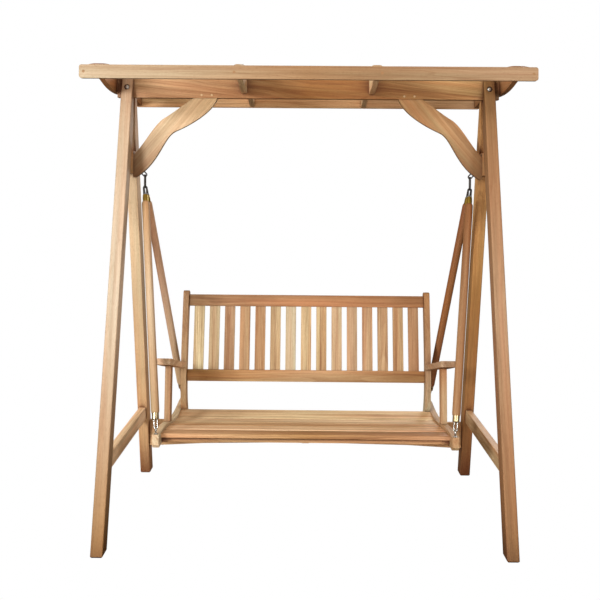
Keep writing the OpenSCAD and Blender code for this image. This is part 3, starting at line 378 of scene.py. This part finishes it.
X, Y = (1, 0, 0), (0, 1, 0)
WOOD = {
    # node: grain axis (None = its own lean), ring width, figure, contrast, edge radius in mm,
    # and its mean colour, or its colours from one end of the grain to the other. These colours hold
    # painted light and shade as well as each board's tone: the left-hand pieces are paler than their
    # right-hand twins, painted light from the left.
    # the legs' colours from foot to top are partly their tone, partly painted light and shade
    "left_front_leg": (None, 0.006, 0.35, 0.5, 1.5, [
        (143, 103, 52), (196, 174, 150), (190, 158, 128)]),
    "right_front_leg": (None, 0.006, 0.35, 0.7, 1.5, [
        (132, 90, 50), (174, 135, 103), (131, 94, 52)]),
    "left_rear_leg": (None, 0.007, 0.4, 0.6, 1.5, [
        (234, 177, 126), (195, 172, 137), (240, 203, 164)]),
    "right_rear_leg": (None, 0.007, 0.4, 0.8, 1.5, [
        (177, 121, 78), (164, 124, 72), (239, 181, 117)]),
    "left_side_stretcher": (Y, 0.006, 0.4, 0.9, 3.0, [(240, 203, 164)]),
    "right_side_stretcher": (Y, 0.006, 0.4, 1.1, 3.0, [(201, 164, 123)]),
    "rear_stretcher": (X, 0.007, 0.5, 0.7, 3.0, [(205, 162, 118)]),
    "left_leg_tie": (Y, 0.006, 0.4, 0.4, 3.0, [(200, 158, 114)]),
    "right_leg_tie": (Y, 0.006, 0.4, 0.4, 3.0, [(180, 134, 92)]),
    # darker in its middle: painted shade from the batten and rafters above, over its tone
    "ridge_beam": ((1, 0, -0.09), 0.006, 0.8, 1.0, 3.0, [
        (205, 164, 123), (158, 107, 56), (189, 147, 98)]),
    # the dark first colour, at each brace's foot, is a painted shadow of the leg in front of it
    "left_knee_brace": (None, 0.006, 0.5, 0.75, 3.0, [
        (119, 82, 50), (206, 178, 143), (199, 166, 122)]),
    "right_knee_brace": (None, 0.006, 0.5, 0.75, 3.0, [
        (119, 82, 50), (169, 130, 89), (193, 147, 100)]),
    # the end rafters darker and the middle rafters paler than their tone: painted shade and painted
    # light
    "left_end_rafter": (Y, 0.006, 0.6, 0.7, 3.0, [(186, 132, 86)]),
    "left_middle_rafter": (Y, 0.006, 0.6, 0.7, 3.0, [(230, 196, 154)]),
    "right_middle_rafter": (Y, 0.006, 0.6, 0.7, 3.0, [(230, 196, 154)]),
    "right_end_rafter": (Y, 0.006, 0.6, 0.7, 3.0, [(168, 120, 78)]),
    "front_roof_batten": (X, 0.007, 0.5, 0.9, 4.0, [
        (172, 150, 121), (154, 118, 81), (167, 138, 107)]),
    "rear_roof_batten": (X, 0.007, 0.5, 1.2, 4.0, [
        (223, 176, 127), (199, 158, 114), (194, 154, 116)]),
    "left_front_rod": (None, 0.006, 0.3, 0.6, 0.0, [
        (170, 141, 105), (203, 173, 142), (185, 140, 97)]),
    "right_front_rod": (None, 0.006, 0.3, 0.7, 0.0, [
        (154, 115, 79), (160, 122, 86), (140, 90, 50)]),
    "left_rear_rod": (None, 0.006, 0.3, 0.7, 0.0, [
        (201, 170, 133), (204, 171, 145), (193, 149, 114)]),
    "right_rear_rod": (None, 0.006, 0.3, 0.7, 0.0, [(140, 92, 61), (150, 94, 50), (141, 92, 59)]),
    "left_side_rail": (Y, 0.006, 0.4, 1.0, 3.0, [(224, 199, 164)]),
    "right_side_rail": (Y, 0.006, 0.4, 1.0, 3.0, [(188, 154, 115)]),
    "front_apron": (X, 0.007, 0.5, 1.1, 2.0, [(176, 134, 92)]),
    "rear_seat_rail": (X, 0.007, 0.5, 1.1, 2.0, [(192, 144, 100)]),
    "side_bearers": (Y, 0.007, 0.4, 0.7, 2.0, [(178, 126, 82)]),
    "middle_bearer": (Y, 0.007, 0.4, 0.7, 2.0, [(178, 126, 82)]),
    "seat_slat_1": (X, 0.006, 0.5, 1.6, 2.5, [(210, 166, 126), (172, 128, 80), (175, 131, 97)]),
    "seat_slat_2": (X, 0.007, 0.6, 1.6, 2.5, [(240, 203, 164), (234, 202, 162), (221, 172, 130)]),
    "seat_slat_3": (X, 0.006, 0.5, 1.6, 2.5, [(214, 172, 126)]),
    "seat_slat_4": (X, 0.007, 0.6, 1.6, 2.5, [(226, 194, 153)]),
    "seat_slat_5": (X, 0.006, 0.5, 1.6, 2.5, [(199, 158, 117), (220, 193, 149), (238, 202, 156)]),
    "left_back_post": (None, 0.006, 0.4, 0.8, 3.5, [
        (205, 168, 130), (202, 164, 124), (176, 132, 96)]),
    "right_back_post": (None, 0.006, 0.4, 0.8, 3.5, [
        (204, 193, 164), (175, 140, 107), (169, 122, 78)]),
    "back_top_rail": (X, 0.007, 0.4, 1.2, 3.0, [(154, 118, 83), (167, 118, 79), (151, 104, 65)]),
    "back_lower_rail": (X, 0.007, 0.7, 1.3, 3.0, [(167, 125, 71), (173, 136, 98), (149, 105, 62)]),
    "left_back_slats": (None, 0.006, 0.8, 1.4, 2.0, [
        (217, 202, 164), (181, 155, 120), (161, 125, 92), (166, 130, 93), (171, 134, 96)]),
    "middle_back_slats": (None, 0.006, 0.8, 1.4, 2.0, [
        (180, 153, 116), (173, 153, 123), (183, 156, 118), (188, 159, 119), (178, 151, 118)]),
    "right_back_slats": (None, 0.006, 0.8, 1.3, 2.0, [
        (177, 144, 112), (180, 143, 108), (189, 152, 115), (180, 143, 104), (163, 122, 87)]),
    "left_arm": (Y, 0.006, 0.5, 1.0, 5.0, [(209, 175, 142)]),
    "right_arm": (Y, 0.006, 0.5, 1.0, 5.0, [(170, 142, 114)]),
    "left_arm_post": (None, 0.006, 0.4, 0.9, 3.0, [(164, 127, 92)]),
    "right_arm_post": (None, 0.006, 0.4, 0.9, 3.0, [
        (190, 158, 122), (180, 147, 111), (171, 117, 76)]),
}


# the least angle between two faces whose edge is eased
EASED_ANGLE = math.radians(32)


def ease_edges(obj, radius):
    """Rounds a CAD node's sharp edges for the eye only: weld, then a small bevel."""
    weld = obj.modifiers.new("weld", "WELD")
    weld.merge_threshold = 0.00002
    if radius:
        bevel = obj.modifiers.new("eased", "BEVEL")
        bevel.width = radius / 1000
        bevel.segments = 3
        bevel.limit_method = "ANGLE"
        bevel.angle_limit = EASED_ANGLE
        bevel.use_clamp_overlap = True
        bevel.harden_normals = False
    obj.data.shade_smooth()
    smooth = obj.modifiers.new("normals", "WEIGHTED_NORMAL")
    smooth.keep_sharp = True


def dress(obj, mat):
    obj.data.materials.clear()
    obj.data.materials.append(mat)


def ends_along(obj, axis):
    """Where a node starts and ends along its grain."""
    at = [v.co.dot(axis) for v in obj.data.vertices]
    return min(at), max(at)


# pieces on which painted shade, with some grime, darkens the colour near other pieces in another way
# than in the open
SHADE_AND_GRIME_BY_NODE = {"front_apron": UNDERCUT, "ridge_beam": SHELTERED}
SHADE_AND_GRIME_BY_NODE.update((n, SLATTED) for n in WOOD if n.startswith("seat_slat"))
SHADE_AND_GRIME_BY_NODE.update((n, SHELTERED) for n in WOOD if n.endswith(("end_rafter", "front_leg", "rear_leg")))

# the back slats stand in three nodes of one row
SLAT_WIDTH = 0.0515
ROWS = ("left_back_slats", "middle_back_slats", "right_back_slats")
slat_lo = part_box(ROWS[0])[0].x
slat_count = sum(len(WOOD[node][-1]) for node in ROWS)
slat_pitch = (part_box(ROWS[-1])[1].x - slat_lo - SLAT_WIDTH) / (slat_count - 1)
slat_gap = slat_pitch - SLAT_WIDTH

FIRST_SEED = 11
for seed, (node, looks) in enumerate(WOOD.items(), FIRST_SEED):
    axis, ring, figure, contrast, edge, colours = looks
    board = NODES[node]
    row = None
    if node in ROWS:
        row = (slat_pitch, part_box(node)[0].x - slat_gap / 2)
    along = (chord(node) if axis is None else Vector(axis)).normalized()
    facing = (0.2, 1, 0.1) if abs(along.y) < 0.7 else (1, 0, 0.3)
    dress(board, teak("teak_" + node, colours, along, mid_of(node), ends_along(board, along), seed,
                      ring, figure, contrast, row, facing, SHADE_AND_GRIME_BY_NODE.get(node, OPEN)))
    ease_edges(board, edge)

PLUG_COLOURS = {"brace_pegs": (232, 196, 152), "roof_plugs": WOOD["front_roof_batten"][-1][1]}
PLUG_SEED = 91
for node, colour in PLUG_COLOURS.items():
    dress(NODES[node], teak("teak_" + node, [colour], X, (0, 0, 0), (0, 1), PLUG_SEED,
                            ring=0.004, figure=0.4, contrast=0.4))
    ease_edges(NODES[node], 0.4)

METALS = {
    # material: its colour, dull colour, roughness and grime, and the nodes made of it
    "dark_steel_wire": (srgb(92, 90, 88), srgb(46, 42, 40), 0.42, 0.35,
                        ("left_hanging_eye", "right_hanging_eye", "left_link", "right_link",
                         "upper_bails")),
    "bright_steel": (srgb(188, 188, 186), srgb(110, 108, 104), 0.20, 0.35,
                     ("lower_bails", "rail_eyes", "roof_screws")),
    "polished_steel": (srgb(238, 238, 236), srgb(176, 174, 170), 0.26, 0.20,
                       ("leg_bolts", "bench_bolts")),
    "brass_upper": (srgb(176, 148, 66), srgb(104, 82, 34), 0.36, 0.45, ("upper_ferrules",)),
    "brass_lower": (srgb(206, 190, 150), srgb(140, 122, 84), 0.22, 0.30, ("lower_ferrules",)),
}
METAL_EDGE = 0.5
for name, (base, dull, rough, grime, nodes) in METALS.items():
    mat = metal(name, base, dull, rough, grime)
    for node in nodes:
        dress(NODES[node], mat)
        # the screws lie under their plugs
        if node != "roof_screws":
            ease_edges(NODES[node], METAL_EDGE)


# ---- stage ---------------------------------------------------------------------

WHITE = (1.0, 1.0, 1.0)
BLACK = (0.0, 0.0, 0.0, 1)


def shining(name, colour):
    """A stage surface that shines by itself and reflects nothing."""
    g = Graph(name)
    g.bsdf.inputs["Base Color"].default_value = BLACK
    g.bsdf.inputs["Specular IOR Level"].default_value = 0.0
    g.bsdf.inputs["Emission Color"].default_value = colour
    return g


def stage_object(name, mesh, mat):
    o = bpy.data.objects.new(name, mesh)
    bpy.context.scene.collection.objects.link(o)
    dress(o, mat)
    return o


def white_floor(half=60.0):
    """A white paper floor. It doesn't throw light up at the swing, as a dark studio's wouldn't."""
    g = shining("floor_white", (*WHITE, 1))
    g.bsdf.inputs["Roughness"].default_value = 1.0
    g.bsdf.inputs["Emission Strength"].default_value = 1.0
    mesh = bpy.data.meshes.new("floor")
    corners = [(-half, -half, 0), (half, -half, 0), (half, half, 0), (-half, half, 0)]
    mesh.from_pydata(corners, [], [(0, 1, 2, 3)])
    o = stage_object("floor", mesh, g.mat)
    o.visible_diffuse = False
    o.visible_glossy = False


# the dome's light: the same all round, plus what grows towards each side, but never less than
# the least
DOME = {"all": 0.27, "left": -0.13, "front": -0.10, "up": 0.38, "least": 0.03}
DOME_TINT = (1.0, 0.83, 0.67, 1)


def soft_dome(radius=25.0):
    """Soft light from all round, strongest from the upper left front; no camera sees it."""
    mesh = bpy.data.meshes.new("soft_dome")
    shell = bmesh.new()
    bmesh.ops.create_icosphere(shell, subdivisions=4, radius=radius)
    shell.to_mesh(mesh)
    shell.free()
    g = shining("soft_dome", DOME_TINT)
    x, y, z = g.split(g.vmath("NORMALIZE", g.coords()))
    strength = g.math("MULTIPLY_ADD", x, DOME["left"], DOME["all"])
    strength = g.math("MULTIPLY_ADD", y, DOME["front"], strength)
    strength = g.math("MULTIPLY_ADD", z, DOME["up"], strength)
    g.put(g.bsdf.inputs["Emission Strength"], g.math("MAXIMUM", strength, DOME["least"]))
    o = stage_object("soft_dome", mesh, g.mat)
    o.visible_camera = False
    o.visible_shadow = False


LAMPS = {
    # lamp: where it stands, where it points, its width and height, watts and colour
    "key_left_front": ((-3.1, -5.0, 2.5), (-0.2, 0, 1.1), (1.2, 1.2), 280, WHITE),
    "fill_right_front": ((2.8, -4.4, 2.4), (0.2, 0, 1.1), (0.8, 0.8), 62, WHITE),
    "rear_fill": ((2.4, 4.6, 2.7), (0, 0, 1.1), (1.6, 1.6), 90, WHITE),
    "floor_bounce": ((0.0, -2.4, 0.1), (0, -0.3, 2.0), (3.0, 1.2), 28, (1.0, 0.92, 0.84)),
}


def lamp(name, position, target, size, power, colour):
    data = bpy.data.lights.new(name, "AREA")
    data.shape = "RECTANGLE"
    data.size, data.size_y = size
    data.energy = power
    data.color = colour
    o = bpy.data.objects.new(name, data)
    o.location = position
    o.rotation_euler = (Vector(target) - Vector(position)).to_track_quat("-Z", "Y").to_euler()
    o.visible_camera = False
    bpy.context.scene.collection.objects.link(o)


def white_world():
    """White behind everything, which sheds no light on the swing."""
    world = bpy.data.worlds.new("studio")
    bpy.context.scene.world = world
    world.use_nodes = True
    background = world.node_tree.nodes["Background"]
    background.inputs["Color"].default_value = (*WHITE, 1)
    background.inputs["Strength"].default_value = 1.0
    world.cycles_visibility.diffuse = False
    world.cycles_visibility.glossy = False


# the camera that was fitted to the photo: place in m, turn and roll in radians, lens in mm
CAMERA_AT = (-0.003, -3.977, 1.498)
CAMERA_TURN, CAMERA_ROLL = 0.0078, 0.0077
CAMERA_LENS, CAMERA_SENSOR = 50.32, 36.0
CAMERA_SHIFT_Y = -0.1788


def camera():
    data = bpy.data.cameras.new("camera")
    data.sensor_width = CAMERA_SENSOR
    data.lens = CAMERA_LENS
    data.shift_y = CAMERA_SHIFT_Y
    o = bpy.data.objects.new("camera", data)
    bpy.context.scene.collection.objects.link(o)
    o.matrix_world = (Matrix.Translation(CAMERA_AT)
                      @ Matrix.Rotation(CAMERA_TURN, 4, "Z")
                      @ Matrix.Rotation(math.pi / 2, 4, "X")
                      @ Matrix.Rotation(CAMERA_ROLL, 4, "Z"))
    bpy.context.scene.camera = o


white_world()
white_floor()
soft_dome()
for name, settings in LAMPS.items():
    lamp(name, *settings)
camera()
bpy.context.scene.view_settings.view_transform = "Standard"
bpy.context.scene.view_settings.look = "None"
